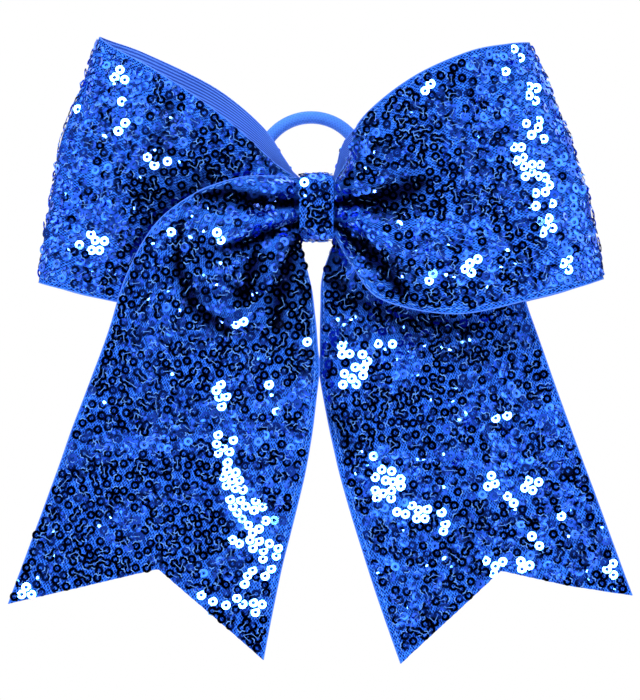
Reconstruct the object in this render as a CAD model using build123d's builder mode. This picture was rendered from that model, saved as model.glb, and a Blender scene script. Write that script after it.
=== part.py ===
from build123d import *
import os
from math import cos, pi, radians, sin

# Cheer hair bow: one 75 mm ribbon folded into two loops and two tails, gathered at a centre
# wrap, with a fabric hair elastic held in the wrap.
# Millimetres, +Z up as worn, the sequinned front faces -Y, and the origin is the middle of the
# wrap's flat back.

os.makedirs("parts", exist_ok=True)

# ribbon layers
backing_t = 0.6
mesh_t = 0.25
sequin_t = 0.55
sequin_margin = 3.4
ribbon_w = 75.0
ply_gap = 0.05
skin_t = backing_t + mesh_t + sequin_t

# centre wrap
wrap_w = 10.0
wrap_half_h = 8.6
wrap_back_y = -3.0
wrap_front_y = -19.8
wrap_front_r = 2.8
wrap_back_r = 1.1
glue_t = 0.2
flap_end_z = -5.0
flap_start_z = 5.0

# gathered ribbon inside the wrap
gather_half_w = 5.5
gather_y = -13.8
gather_depth = 10.0
passes = 8
pass_pitch = 1.875
gather_ply = 0.28

# cinch thread
thread_d = 0.9
thread_turns = 5
thread_pitch = 1.0
cinch_half_depth = 5.45
cinch_half_h = 7.9
cinch_corner_r = 1.9

# hair elastic
elastic_y = -5.45
elastic_z = -3.6
elastic_lean = 10.0
elastic_r = 1.9
elastic_core_r = 1.5
ring_r = 15.6
ring_x = -1.6
ring_straight = 13.0
ring_height = 31.2
sleeve_r = 2.1
sleeve_len = 5.0

# where the moving ribbon begins, beside the wrap
knot_x = 6.0
pleats = 2.5
pleat_depth = 1.0
pleat_reach = 30.0


# Each row is one line across the ribbon, from its upper edge (x, z) to its lower edge (x, z),
# with its depth y. A tail's rows run from the knot to just past its tip.
left_tail_rows = [
    (-6, 8.7, -6, -9.3, -17.1),
    (-25, 8.4, -2.9, -19.2, -26.5),
    (-45, -2, -0.6, -30.4, -29),
    (-56.5, -20, 0.3, -41.8, -28.5),
    (-62.4, -38.1, 0.5, -51.6, -26),
    (-71.5, -62.6, -3, -77.3, -21.5),
    (-81.9, -90.8, -10.1, -106.4, -18),
    (-92.3, -118.9, -16, -135.8, -15.5),
    (-96.8, -131.1, -17.9, -148.7, -14.5),
]
right_tail_rows = [
    (6, 8.3, 6, -9.3, -13.8),
    (24, 5.2, 2, -20.3, -14.8),
    (42, -1.2, 1.3, -30.5, -15.5),
    (58, -18, 1.2, -43.5, -16),
    (64.4, -33.4, 1.4, -52.5, -16),
    (73.7, -59.7, 7, -79.8, -15.5),
    (84, -87.6, 15.6, -108.6, -14.5),
    (94.5, -116, 25.3, -136.9, -13.5),
    (99.5, -127.8, 30.1, -149, -13),
]

# A loop seen from above at z = 0: x outwards and y, from the front of the knot, round the outer
# fold and back to the knot. Its fold leans, so the plan shifts by loop_lean for each mm of z.
left_loop_plan = [
    (-1, -13.8), (-6, -13.8), (-14, -16), (-24, -19), (-39, -20), (-57, -17.8), (-69, -14.9),
    (-75.2, -12.4), (-78.8, -9), (-75.2, -5.7), (-69, -3.9), (-57, -2.9), (-36, -4),
    (-18, -8.3), (-10, -9.7), (-6, -10.5), (-1, -10.5),
]
left_loop_top = [
    (6, 4), (-6, 8.7), (-9.7, 14.5), (-15.3, 23.4), (-29.4, 35), (-43.8, 43.1), (-65.6, 51.1),
    (-84, 58),
]
left_loop_bottom = [
    (-105, -16.5), (-83.6, -22.5), (-65, -27.3), (-45, -31), (-33, -31.5), (-20, -26),
    (-6, -9.3), (6, -4),
]
left_loop_lean = 0.2446
right_loop_plan = [
    (1, -17.1), (6, -17.1), (10, -22), (17, -26.6), (35, -29), (55, -26.6), (70, -20.8),
    (77, -16.6), (80.4, -12.3), (77, -8.1), (70, -5.4), (55, -3.6), (34, -4), (16, -8.3),
    (9.5, -9.9), (6, -10.5), (1, -10.5),
]
right_loop_top = [
    (-6, 4), (6, 8.5), (10.2, 17), (15.1, 28.6), (27.8, 38), (44.7, 46), (63.3, 49), (84, 51),
]
right_loop_bottom = [
    (107, -15), (86, -21.5), (62.7, -28), (41.2, -32), (30, -32.3), (19.8, -28), (11.1, -18.3),
    (6, -9.3), (-6, -4),
]
right_loop_lean = -0.3218


def offset_points(points, distance):
    """Points of a plan curve moved sideways, to the left of its direction."""
    moved = []
    for i, (x, y) in enumerate(points):
        before, after = points[max(i - 1, 0)], points[min(i + 1, len(points) - 1)]
        dx, dy = after[0] - before[0], after[1] - before[1]
        length = (dx * dx + dy * dy) ** 0.5
        moved.append((x - dy / length * distance, y + dx / length * distance))
    return moved


def row_ends(row):
    """Upper and lower end of one line across the ribbon."""
    return Vector(row[0], row[4], row[1]), Vector(row[2], row[4], row[3])


def row_middle(row):
    top, low = row_ends(row)
    return (top + low) * 0.5


def section_plane(rows, i, outward):
    """Plane across the ribbon at row i: x runs over its width, y out of its sequinned side."""
    top, low = row_ends(rows[i])
    before, after = rows[max(i - 1, 0)], rows[min(i + 1, len(rows) - 1)]
    tangent = row_middle(after) - row_middle(before)
    if i == 0:
        tangent = Vector(-outward, 0, 0)
    across = (low - top).normalized()
    facing = tangent.cross(across).normalized() * outward
    return Plane(origin=top, x_dir=across, z_dir=across.cross(facing))


def profile_points(rows, i, plane, lift, v0, v1):
    """Pleated line over the ribbon's width, in the plane's own x and y."""
    top, low = row_ends(rows[i])
    columns = 17
    points = []
    for j in range(columns):
        v = v0 + (v1 - v0) * j / (columns - 1)
        spot = top + (low - top) * v
        reach = (spot.X**2 + spot.Z**2) ** 0.5 - knot_x
        fade = max(1 - reach / pleat_reach, 0) ** 2
        fold = pleat_depth * fade * cos(2 * pi * pleats * v) * plane.y_dir.Y
        points.append((v * (low - top).length, fold + lift))
    return points


# Shape of the tail ends: a V cut between two points.
left_tail_cut = [(-120, -125.37), (-47.4, -108.4), (12, -160.3), (12, -175), (-120, -175)]
right_tail_cut = [
    (0, -160.5), (55.3, -109.1), (76, -113.6), (130, -122), (130, -175), (0, -175),
]


def tail_layer(name, rows, outward, cut, lift, thickness, margin=0):
    """One layer of a tail, lofted from row to row and cut to a V at its end."""
    v0, v1 = margin / ribbon_w, 1 - margin / ribbon_w
    with BuildPart() as layer:
        for i in range(len(rows)):
            plane = section_plane(rows, i, outward)
            inner = profile_points(rows, i, plane, lift, v0, v1)
            outer = profile_points(rows, i, plane, lift + thickness, v0, v1)
            with BuildSketch(plane):
                with BuildLine():
                    Spline(*inner)
                    Line(inner[-1], outer[-1])
                    Spline(*outer)
                    Line(inner[0], outer[0])
                make_face()
        loft(ruled=True)
        with BuildSketch(Plane.XZ):
            with BuildLine():
                Polyline(*cut, close=True)
            make_face()
        extrude(amount=60, both=True, mode=Mode.SUBTRACT)
    layer.part.label = name
    export_step(layer.part, f"parts/{name}.step")


def tail(name, *shape):
    """Backing, mesh ground and sequin layer of a tail."""
    tail_layer(f"{name}_backing", *shape, -backing_t - ply_gap, backing_t)
    tail_layer(f"{name}_mesh", *shape, 0, mesh_t)
    tail_layer(f"{name}_sequins", *shape, mesh_t + ply_gap, sequin_t, sequin_margin)


def loop_layer(name, plan, top, bottom, lean, lift, thickness, margin=0):
    """One layer of a loop: its plan swept along the leaning fold and trimmed to its outline."""
    side = -1 if plan[1][0] < 0 else 1
    height = 70
    raised = [(x + lean * height, y) for x, y in plan]
    inner = offset_points(raised, -side * lift)
    outer = offset_points(raised, -side * (lift + thickness))
    upper = offset_points(top, -side * margin)
    lower = offset_points(bottom, -side * margin)
    with BuildPart() as layer:
        with BuildSketch(Plane.XY.offset(height)):
            with BuildLine():
                Spline(*inner)
                Line(inner[-1], outer[-1])
                Spline(*outer)
                Line(inner[0], outer[0])
            make_face()
        extrude(amount=2 * height, dir=(-lean, 0, -1))
        with BuildSketch(Plane.XZ):
            with BuildLine():
                Spline(*upper)
                Line(upper[-1], lower[0])
                Spline(*lower)
                Line(lower[-1], upper[0])
            make_face()
        extrude(amount=60, both=True, mode=Mode.INTERSECT)
        split(bisect_by=Plane.YZ.offset(side * knot_x), keep=Keep.TOP if side > 0 else Keep.BOTTOM)
    layer.part.label = name
    export_step(layer.part, f"parts/{name}.step")


def loop(name, *shape):
    """Backing, mesh ground and sequin layer of a loop."""
    loop_layer(f"{name}_backing", *shape, -backing_t - ply_gap, backing_t)
    loop_layer(f"{name}_mesh", *shape, 0, mesh_t)
    loop_layer(f"{name}_sequins", *shape, mesh_t + ply_gap, sequin_t, sequin_margin)


tail("left_tail", left_tail_rows, 1, left_tail_cut)
tail("right_tail", right_tail_rows, -1, right_tail_cut)
loop("left_loop", left_loop_plan, left_loop_top, left_loop_bottom, left_loop_lean)
loop("right_loop", right_loop_plan, right_loop_top, right_loop_bottom, right_loop_lean)


# Gathered ribbon inside the wrap: three plies folded back and forth together.
def serpentine(offset):
    """Centre line of the folded stack moved sideways, as points and turns in (y, z)."""
    turn_r = pass_pitch / 2
    reach = gather_depth / 2 - turn_r - 3 * gather_ply
    z_top = pass_pitch * (passes - 1) / 2
    for i in range(passes):
        z = z_top - i * pass_pitch
        way = -1 if i % 2 == 0 else 1
        start = (gather_y - way * reach, z - way * offset)
        end = (gather_y + way * reach, z - way * offset)
        Line(start, end)
        if i < passes - 1:
            r = turn_r - way * offset
            z_next = z - pass_pitch
            middle = (gather_y + way * (reach + r), z - turn_r)
            ThreePointArc(end, middle, (gather_y + way * reach, z_next + way * offset))


def serpentine_ends():
    """Start and end of the folded stack's centre line."""
    turn_r = pass_pitch / 2
    reach = gather_depth / 2 - turn_r - 3 * gather_ply
    z_top = pass_pitch * (passes - 1) / 2
    return (gather_y + reach, z_top), (gather_y + reach, -z_top)


def gather_ply_section(name, inner, outer):
    start, end = serpentine_ends()
    with BuildPart() as ply:
        with BuildSketch(Plane.YZ):
            with BuildLine():
                serpentine(inner)
                serpentine(outer)
                Line((start[0], start[1] + inner), (start[0], start[1] + outer))
                Line((end[0], end[1] - inner), (end[0], end[1] - outer))
            make_face()
        extrude(amount=gather_half_w, both=True)
    ply.part.label = name
    export_step(ply.part, f"parts/{name}.step")


for index, place in enumerate(["front", "middle", "back"]):
    low = -3 * gather_ply + 2 * index * gather_ply
    gather_ply_section(f"{place}_gather_backing", low, low + gather_ply)
    gather_ply_section(f"{place}_gather_sequin_mesh", low + gather_ply, low + 2 * gather_ply)


# Cinch thread: tight turns round the gathered ribbon.
with BuildPart() as cinch_thread:
    for turn in range(thread_turns):
        x = (turn - (thread_turns - 1) / 2) * thread_pitch
        back, front = gather_y + cinch_half_depth, gather_y - cinch_half_depth
        top = cinch_half_h
        corners = [(back, -top), (back, top), (front, top), (front, -top)]
        with BuildLine(Plane.YZ.offset(x)) as turn_line:
            FilletPolyline(*corners, radius=cinch_corner_r, close=True)
        with BuildSketch(Plane(turn_line.line @ 0, z_dir=turn_line.line % 0)):
            Circle(thread_d / 2)
        sweep()
cinch_thread.part.label = "cinch_thread"
export_step(cinch_thread.part, "parts/cinch_thread.step")


# Centre wrap: a narrow strip of the same ribbon, lapped and glued at the back.
def wrap_line(a):
    """The wrap's path at distance a outside its inner surface."""
    back = wrap_back_y + a
    flap = wrap_back_y + skin_t + glue_t + a
    front = wrap_front_y - a
    half = wrap_half_h + a
    low_c = wrap_back_y - wrap_back_r
    top_c = wrap_back_y + skin_t + glue_t - wrap_back_r
    back_z = wrap_half_h - wrap_back_r
    front_z = wrap_half_h - wrap_front_r
    front_c = wrap_front_y + wrap_front_r
    Line((back, flap_start_z), (back, -back_z))
    CenterArc((low_c, -back_z), wrap_back_r + a, 0, -90)
    Line((low_c, -half), (front_c, -half))
    CenterArc((front_c, -front_z), wrap_front_r + a, 270, -90)
    Line((front, -front_z), (front, front_z))
    CenterArc((front_c, front_z), wrap_front_r + a, 180, -90)
    Line((front_c, half), (top_c, half))
    CenterArc((top_c, back_z), wrap_back_r + a, 90, -90)
    Line((flap, back_z), (flap, flap_end_z))


def wrap_layer(name, inner, outer):
    step = skin_t + glue_t
    with BuildPart() as layer:
        with BuildSketch(Plane.YZ):
            with BuildLine():
                wrap_line(inner)
                wrap_line(outer)
                Line((wrap_back_y + inner, flap_start_z), (wrap_back_y + outer, flap_start_z))
                Line(
                    (wrap_back_y + step + inner, flap_end_z),
                    (wrap_back_y + step + outer, flap_end_z),
                )
            make_face()
        extrude(amount=wrap_w / 2, both=True)
    layer.part.label = name
    export_step(layer.part, f"parts/{name}.step")


wrap_layer("centre_wrap_backing", 0, backing_t)
wrap_layer("centre_wrap_mesh", backing_t, backing_t + mesh_t)
wrap_layer("centre_wrap_sequins", backing_t + mesh_t, skin_t)

with BuildPart() as wrap_glue:
    with BuildSketch(Plane.YZ):
        with Locations((wrap_back_y + skin_t + glue_t / 2, 0)):
            Rectangle(glue_t, flap_start_z - flap_end_z)
    extrude(amount=wrap_w / 2 - 1, both=True)
wrap_glue.part.label = "wrap_glue"
export_step(wrap_glue.part, "parts/wrap_glue.step")


# Hair elastic: a closed ring whose straight lower run is gripped in the wrap.
ring_plane = Plane(
    origin=(0, elastic_y, elastic_z),
    x_dir=(1, 0, 0),
    z_dir=(0, -cos(radians(elastic_lean)), sin(radians(elastic_lean))),
)
bend_r = ring_r - ring_straight / 2
side_top = ring_height - ring_r


def ring_section(name, outer_r, inner_r):
    left, right = ring_x - ring_r, ring_x + ring_r
    with BuildPart() as ring:
        with BuildLine(ring_plane) as path:
            Line((ring_x - ring_straight / 2, 0), (ring_x + ring_straight / 2, 0))
            CenterArc((ring_x + ring_straight / 2, bend_r), bend_r, 270, 90)
            Line((right, bend_r), (right, side_top))
            CenterArc((ring_x, side_top), ring_r, 0, 180)
            Line((left, side_top), (left, bend_r))
            CenterArc((ring_x - ring_straight / 2, bend_r), bend_r, 180, 90)
        with BuildSketch(Plane(path.line @ 0, z_dir=(1, 0, 0))):
            Circle(outer_r)
            if inner_r:
                Circle(inner_r, mode=Mode.SUBTRACT)
        sweep()
    ring.part.label = name
    export_step(ring.part, f"parts/{name}.step")


ring_section("hair_elastic_cover", elastic_r, elastic_core_r)
ring_section("hair_elastic_core", elastic_core_r, 0)

with BuildPart() as elastic_join_sleeve:
    with BuildSketch(Plane.YZ.offset(-sleeve_len / 2)):
        with Locations((elastic_y, elastic_z)):
            Circle(sleeve_r)
            Circle(elastic_r, mode=Mode.SUBTRACT)
    extrude(amount=sleeve_len)
elastic_join_sleeve.part.label = "elastic_join_sleeve"
export_step(elastic_join_sleeve.part, "parts/elastic_join_sleeve.step")
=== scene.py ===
import math

import bpy
import numpy as np
from bpy.props import FloatProperty, FloatVectorProperty, IntProperty, PointerProperty
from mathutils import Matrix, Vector


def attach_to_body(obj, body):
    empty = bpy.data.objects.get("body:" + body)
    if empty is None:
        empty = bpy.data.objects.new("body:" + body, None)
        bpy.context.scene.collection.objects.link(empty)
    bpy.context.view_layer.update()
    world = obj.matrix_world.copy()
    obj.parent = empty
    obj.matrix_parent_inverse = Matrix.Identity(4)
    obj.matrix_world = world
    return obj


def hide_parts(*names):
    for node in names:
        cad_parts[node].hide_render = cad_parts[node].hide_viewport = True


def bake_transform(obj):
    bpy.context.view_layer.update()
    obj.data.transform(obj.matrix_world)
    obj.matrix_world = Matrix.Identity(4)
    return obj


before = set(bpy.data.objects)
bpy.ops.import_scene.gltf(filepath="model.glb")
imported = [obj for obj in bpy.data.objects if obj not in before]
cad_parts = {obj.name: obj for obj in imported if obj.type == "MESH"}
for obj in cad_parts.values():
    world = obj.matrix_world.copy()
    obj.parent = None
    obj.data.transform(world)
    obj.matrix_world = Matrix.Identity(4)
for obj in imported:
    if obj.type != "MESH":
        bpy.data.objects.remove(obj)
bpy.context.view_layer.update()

bl_info = {
    "name": "Cheer hair bow",
    "version": (1, 0, 0),
    "blender": (4, 5, 0),
    "location": "3D View > Sidebar > Hair Bow",
    "description": "Builds a sequinned cheer hair bow on its packed frame",
    "category": "Object",
}

# Lengths below are in millimetres until a mesh is made, and then in metres.
MM = 0.001
# A Wave texture of scale 1 repeats after this length.
WAVE_REPEAT = 0.314


def linear(code):
    """Turn an sRGB hex colour such as 1E56E0 into linear red, green and blue."""
    parts = [int(code[i : i + 2], 16) / 255 for i in (0, 2, 4)]
    return tuple(c / 12.92 if c <= 0.04045 else ((c + 0.055) / 1.055) ** 2.4 for c in parts)


# ---------------------------------------------------------------- settings


def length_setting(name, about, millimetres):
    return FloatProperty(
        name=name, description=about, default=millimetres * MM, min=0, unit="LENGTH", precision=5
    )


def colour_setting(name, about, code):
    return FloatVectorProperty(
        name=name, description=about, default=linear(code), subtype="COLOR", size=3, min=0, max=1
    )


class RibbonSettings(bpy.types.PropertyGroup):
    """The ribbed ribbon and the net laid on it."""

    width: length_setting("Ribbon width", "Cut width of the ribbon", 75)
    backing: length_setting("Backing thickness", "Thickness of the ribbed ribbon", 0.42)
    net: length_setting("Net thickness", "Thickness of the knitted net", 0.18)
    pleat: length_setting("Pleat depth", "Half height of the gathers beside the wrap", 4.0)
    backing_colour: colour_setting("Backing", "Colour of the ribbed ribbon", "2464F5")
    net_colour: colour_setting("Net", "Colour of the knitted net", "1C58F0")


class SequinSettings(bpy.types.PropertyGroup):
    """The flat sequins and the thread that chains them."""

    diameter: length_setting("Sequin diameter", "Outside diameter of a flat sequin", 2.8)
    hole: length_setting("Hole diameter", "Diameter of the centre hole", 1.15)
    film: length_setting("Film thickness", "Thickness of the punched film", 0.1)
    gap: length_setting("Least spacing", "Least distance between sequin centres", 2.2)
    each: FloatProperty(
        name="Area for each", description="Square millimetres of ribbon for one sequin", default=7.5
    )
    tilt: FloatProperty(
        name="Tilt", description="Spread of the sequins' lean", default=math.radians(4), subtype="ANGLE"
    )
    sides: IntProperty(name="Sides", description="Sides of a sequin's outline", default=14, min=8)
    seed: IntProperty(name="Seed", description="Start of the scatter", default=7)
    film_colour: colour_setting("Film", "Colour of the lacquered film", "1550E6")
    thread_colour: colour_setting("Thread", "Colour of the chain stitch", "5E9EFF")


class ElasticSettings(bpy.types.PropertyGroup):
    """The hair elastic held in the wrap."""

    diameter: length_setting("Elastic diameter", "Thickness of the braided cover", 3.8)
    braid: length_setting("Braid pitch", "Distance between the cover's yarns", 0.8)
    cover_colour: colour_setting("Cover", "Colour of the braided cover", "4684F8")


class StudioSettings(bpy.types.PropertyGroup):
    """Floor, light and camera."""

    distance: length_setting("Camera distance", "From the camera to the bow", 4000)
    view_height: length_setting("View height", "Height that the camera sees at the bow", 210)
    floor_level: length_setting("Floor depth", "How far the floor lies below the knot", 250)
    key: FloatProperty(name="Key light", description="Power of the key light in watts", default=19)
    fill: FloatProperty(name="Fill light", description="Power of the fill light in watts", default=4.5)
    floor_colour: colour_setting("Floor", "Colour of the paper floor", "F4F5F8")


# ---------------------------------------------------------------- nodes

# A Mix node's factor is socket 0 here, and its two colours are sockets 6 and 7.


def add_node(tree, kind, inputs=None, **options):
    """Add a node, set its options, and fill its sockets with values or with links."""
    node = tree.nodes.new(kind)
    for name, value in options.items():
        setattr(node, name, value)
    for socket, value in (inputs or {}).items():
        if isinstance(value, bpy.types.NodeSocket):
            tree.links.new(value, node.inputs[socket])
        else:
            node.inputs[socket].default_value = value
    return node


def start_material(name):
    material = bpy.data.materials.new(name)
    material.use_nodes = True
    material.node_tree.nodes.clear()
    return material, material.node_tree


def finish_material(material, shader, height=None, depth=0.0, strength=1.0):
    """Close a material with its shader sockets and, where it has relief, a bump of real depth."""
    tree = material.node_tree
    if height is not None:
        relief = {"Height": height, "Distance": depth * MM, "Strength": strength}
        shader["Normal"] = add_node(tree, "ShaderNodeBump", relief).outputs[0]
    surface = add_node(tree, "ShaderNodeBsdfPrincipled", shader)
    add_node(tree, "ShaderNodeOutputMaterial", {"Surface": surface.outputs[0]})
    return material


def rgba(colour, scale=1.0):
    return tuple(min(c * scale, 1.0) for c in colour) + (1.0,)


def woven_grosgrain(colour):
    # Polyester grosgrain, woven over thick cords: each cord top is a painted highlight, a soft
    # bright line, and the furrow beside it is painted darker as painted shade; the filament yarn gives a
    # faint satin sheen.
    material, tree = start_material("polyester_grosgrain_woven")
    weave = add_node(tree, "ShaderNodeUVMap", uv_map="ribbon").outputs[0]
    # cords 0.7 mm apart, drawn a little coarse, at 0.95 mm, so that they show
    cords = add_node(
        tree, "ShaderNodeTexWave",
        {"Vector": weave, "Scale": WAVE_REPEAT / 0.95, "Distortion": 0.35, "Detail": 1.0},
        wave_type="BANDS", bands_direction="Y",
    ).outputs["Fac"]
    # slow unevenness of the dye, patches about 12 mm wide
    dye = add_node(
        tree, "ShaderNodeTexNoise", {"Vector": weave, "Scale": 0.085, "Detail": 3.0}
    ).outputs["Fac"]
    # painted highlight on the cord tops and painted shade in the furrows between them
    lit = add_node(
        tree, "ShaderNodeMix", {0: cords, 6: rgba(colour, 0.32), 7: rgba(linear("5E92FF"))},
        data_type="RGBA",
    ).outputs[2]
    patch = add_node(tree, "ShaderNodeMapRange", {"Value": dye, "To Max": 0.4}).outputs[0]
    tone = add_node(
        tree, "ShaderNodeMix", {0: patch, 6: lit, 7: rgba(colour, 0.7)}, data_type="RGBA"
    )
    shader = {
        "Base Color": tone.outputs[2], "Roughness": 0.55, "Sheen Weight": 0.12,
        "Sheen Roughness": 0.4, "Specular IOR Level": 0.35,
    }
    return finish_material(material, shader, cords, 0.12, 0.8)


def knitted_net(colour):
    # Nylon tricot net, warp knitted: bright thin filaments round small slanting holes, painted near
    # black as painted shade.
    material, tree = start_material("nylon_net_knitted")
    knit = add_node(tree, "ShaderNodeUVMap", uv_map="ribbon").outputs[0]
    slant = add_node(
        tree, "ShaderNodeMapping",
        {"Vector": knit, "Rotation": (0, 0, math.radians(38)), "Scale": (1.0, 1.5, 1.0)},
    ).outputs[0]
    # holes about 0.6 mm apart, drawn a little coarse, up to 0.9 mm apart, so that they show
    holes = add_node(
        tree, "ShaderNodeTexVoronoi", {"Vector": slant, "Scale": 1.12, "Randomness": 0.35}
    ).outputs["Distance"]
    open_share = add_node(
        tree, "ShaderNodeMapRange",
        {"Value": holes, "From Min": 0.26, "From Max": 0.44, "To Min": 0.0, "To Max": 1.0},
    ).outputs[0]
    uneven = add_node(
        tree, "ShaderNodeTexNoise", {"Vector": knit, "Scale": 0.22, "Detail": 4.0}
    ).outputs["Fac"]
    pulled = add_node(
        tree, "ShaderNodeMapRange", {"Value": uneven, "From Min": 0.35, "From Max": 0.68}
    ).outputs[0]
    filament = add_node(
        tree, "ShaderNodeMix", {0: pulled, 6: rgba(colour, 0.6), 7: rgba(linear("226CFF"))},
        data_type="RGBA",
    ).outputs[2]
    # painted shade: the holes are painted near black
    holed = add_node(
        tree, "ShaderNodeMix", {0: open_share, 6: rgba(colour, 0.04), 7: filament},
        data_type="RGBA",
    ).outputs[2]
    # painted highlight: the crossings of the filaments stand highest and are painted palest
    crossing = add_node(
        tree, "ShaderNodeMapRange",
        {"Value": holes, "From Min": 0.46, "From Max": 0.62, "To Min": 0.0, "To Max": 0.8},
    ).outputs[0]
    knitted = add_node(
        tree, "ShaderNodeMix", {0: crossing, 6: holed, 7: rgba(linear("3F8CFF"))},
        data_type="RGBA",
    ).outputs[2]
    furrow = add_node(
        tree, "ShaderNodeAttribute", attribute_name="shade", attribute_type="GEOMETRY"
    ).outputs["Fac"]
    # painted shade: the net is darkened in the furrows and hollows of the gathers, where shade falls
    tone = add_node(
        tree, "ShaderNodeMix", {0: furrow, 6: knitted, 7: rgba(linear("1C2C50"))},
        data_type="RGBA", blend_type="MULTIPLY",
    ).outputs[2]
    shader = {
        "Base Color": tone, "Roughness": 0.6, "Sheen Weight": 0.01, "Sheen Roughness": 0.4,
        "Specular IOR Level": 0.05,
    }
    return finish_material(material, shader, open_share, 0.16, 0.9)


def lacquered_film(colour):
    # Sequins punched from PET film, vacuum metallised and lacquered blue: a tinted mirror that
    # is black where it faces the dark and white where it catches a lamp.
    material, tree = start_material("pet_film_metallised")
    # the shade attribute: each sequin's own tone, lowered in furrows and hollows as painted shade
    shade = add_node(
        tree, "ShaderNodeAttribute", attribute_name="shade", attribute_type="GEOMETRY"
    ).outputs["Fac"]
    tone = add_node(
        tree, "ShaderNodeMix", {0: shade, 6: rgba(colour, 0.1), 7: rgba(colour, 1.5)},
        data_type="RGBA",
    ).outputs[2]
    place = add_node(tree, "ShaderNodeTexCoord").outputs["Object"]
    # rolling marks of the film, about 0.4 mm apart
    rolled = add_node(
        tree, "ShaderNodeTexNoise", {"Vector": place, "Scale": 2400.0, "Detail": 2.0}
    ).outputs["Fac"]
    rough = add_node(
        tree, "ShaderNodeMapRange",
        {"Value": rolled, "From Min": 0.3, "From Max": 0.7, "To Min": 0.05, "To Max": 0.1},
    ).outputs[0]
    shader = {
        "Base Color": tone, "Metallic": 1.0, "Roughness": rough, "Coat Weight": 0.5,
        "Coat Roughness": 0.08,
    }
    return finish_material(material, shader, rolled, 0.003, 0.5)


def spun_thread(name, colour, pitch):
    # Polyester sewing thread, two plies twisted: pale and slightly glossy with a fine slant.
    material, tree = start_material(name)
    place = add_node(tree, "ShaderNodeTexCoord").outputs["Object"]
    plies = add_node(
        tree, "ShaderNodeTexWave",
        {"Vector": place, "Scale": WAVE_REPEAT / (pitch * MM), "Distortion": 0.6, "Detail": 1.0},
        wave_type="BANDS", bands_direction="DIAGONAL",
    ).outputs["Fac"]
    tone = add_node(
        tree, "ShaderNodeMix", {0: plies, 6: rgba(colour, 0.8), 7: rgba(colour, 1.2)},
        data_type="RGBA",
    ).outputs[2]
    shader = {"Base Color": tone, "Roughness": 0.4, "Sheen Weight": 0.05}
    return finish_material(material, shader, plies, 0.05, 0.7)


def braided_cover(colour, pitch):
    # Nylon yarn braided round rubber: two sets of yarns cross on a slant, satin at a distance.
    material, tree = start_material("nylon_yarn_braided")
    braid = add_node(tree, "ShaderNodeUVMap", uv_map="ribbon").outputs[0]
    ways = []
    for turn in (1, -1):
        slant = add_node(
            tree, "ShaderNodeMapping", {"Vector": braid, "Rotation": (0, 0, turn * 0.62)}
        ).outputs[0]
        ways.append(
            add_node(
                tree, "ShaderNodeTexWave", {"Vector": slant, "Scale": WAVE_REPEAT / pitch},
                wave_type="BANDS", bands_direction="X",
            ).outputs["Fac"]
        )
    yarns = add_node(tree, "ShaderNodeMath", {0: ways[0], 1: ways[1]}, operation="MAXIMUM").outputs[0]
    fuzz = add_node(
        tree, "ShaderNodeTexNoise", {"Vector": braid, "Scale": 0.9, "Detail": 4.0}
    ).outputs["Fac"]
    worn = add_node(
        tree, "ShaderNodeMix", {0: fuzz, 6: rgba(colour, 0.85), 7: rgba(colour, 1.25)},
        data_type="RGBA",
    ).outputs[2]
    tone = add_node(
        tree, "ShaderNodeMix", {0: yarns, 6: rgba(colour, 0.7), 7: worn}, data_type="RGBA"
    ).outputs[2]
    shader = {
        "Base Color": tone, "Roughness": 0.62, "Sheen Weight": 0.6, "Sheen Roughness": 0.35,
        "Sheen Tint": (0.55, 0.7, 1.0, 1.0), "Specular IOR Level": 0.3,
    }
    return finish_material(material, shader, yarns, 0.1, 0.5)


def moulded_material(name, code, roughness, grain, depth, **sockets):
    """A moulded or set material: one colour broken by a grain of real size in millimetres."""
    material, tree = start_material(name)
    colour = linear(code)
    place = add_node(tree, "ShaderNodeTexCoord").outputs["Object"]
    mottle = add_node(
        tree, "ShaderNodeTexNoise", {"Vector": place, "Scale": 1000.0 / grain, "Detail": 4.0}
    ).outputs["Fac"]
    tone = add_node(
        tree, "ShaderNodeMix", {0: mottle, 6: rgba(colour, 0.75), 7: rgba(colour, 1.2)},
        data_type="RGBA",
    ).outputs[2]
    shader = {"Base Color": tone, "Roughness": roughness}
    shader.update({key.replace("_", " "): value for key, value in sockets.items()})
    return finish_material(material, shader, mottle, depth, 0.6)


finishes = {}


def finish_named(name):
    """Make each finish once and give it to every piece that uses it."""
    bow = bpy.context.scene.hair_bow
    makers = {
        "grosgrain": lambda: woven_grosgrain(bow.ribbon.backing_colour),
        "net": lambda: knitted_net(bow.ribbon.net_colour),
        "film": lambda: lacquered_film(bow.sequin.film_colour),
        "chain_thread": lambda: spun_thread("polyester_thread_chain", bow.sequin.thread_colour, 0.2),
        "edge_thread": lambda: spun_thread("polyester_thread_edge", linear("3F78F2"), 0.2),
        "cinch_thread": lambda: spun_thread("polyester_thread_cinch", linear("2A5AD0"), 0.45),
        "braid": lambda: braided_cover(bow.elastic.cover_colour, bow.elastic.braid / MM),
        # Natural rubber, extruded: dull, faintly mottled, cream
        "rubber": lambda: moulded_material(
            "natural_rubber_extruded", "D9CDB4", 0.7, 0.8, 0.02, Specular_IOR_Level=0.4
        ),
        # Heat-shrunk polyolefin sleeve: smooth, a little glossy, black
        "sleeve": lambda: moulded_material("polyolefin_sleeve_shrunk", "1B1C22", 0.35, 1.2, 0.02),
        # EVA hot glue, melted and set: cloudy, glossy, lets some light in
        "glue": lambda: moulded_material(
            "eva_glue_melted", "E8E4D6", 0.25, 1.5, 0.05, Subsurface_Weight=0.4,
            Subsurface_Scale=0.001,
        ),
    }
    if name not in finishes:
        finishes[name] = makers[name]()
    return finishes[name]


# ---------------------------------------------------------------- meshes


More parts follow.
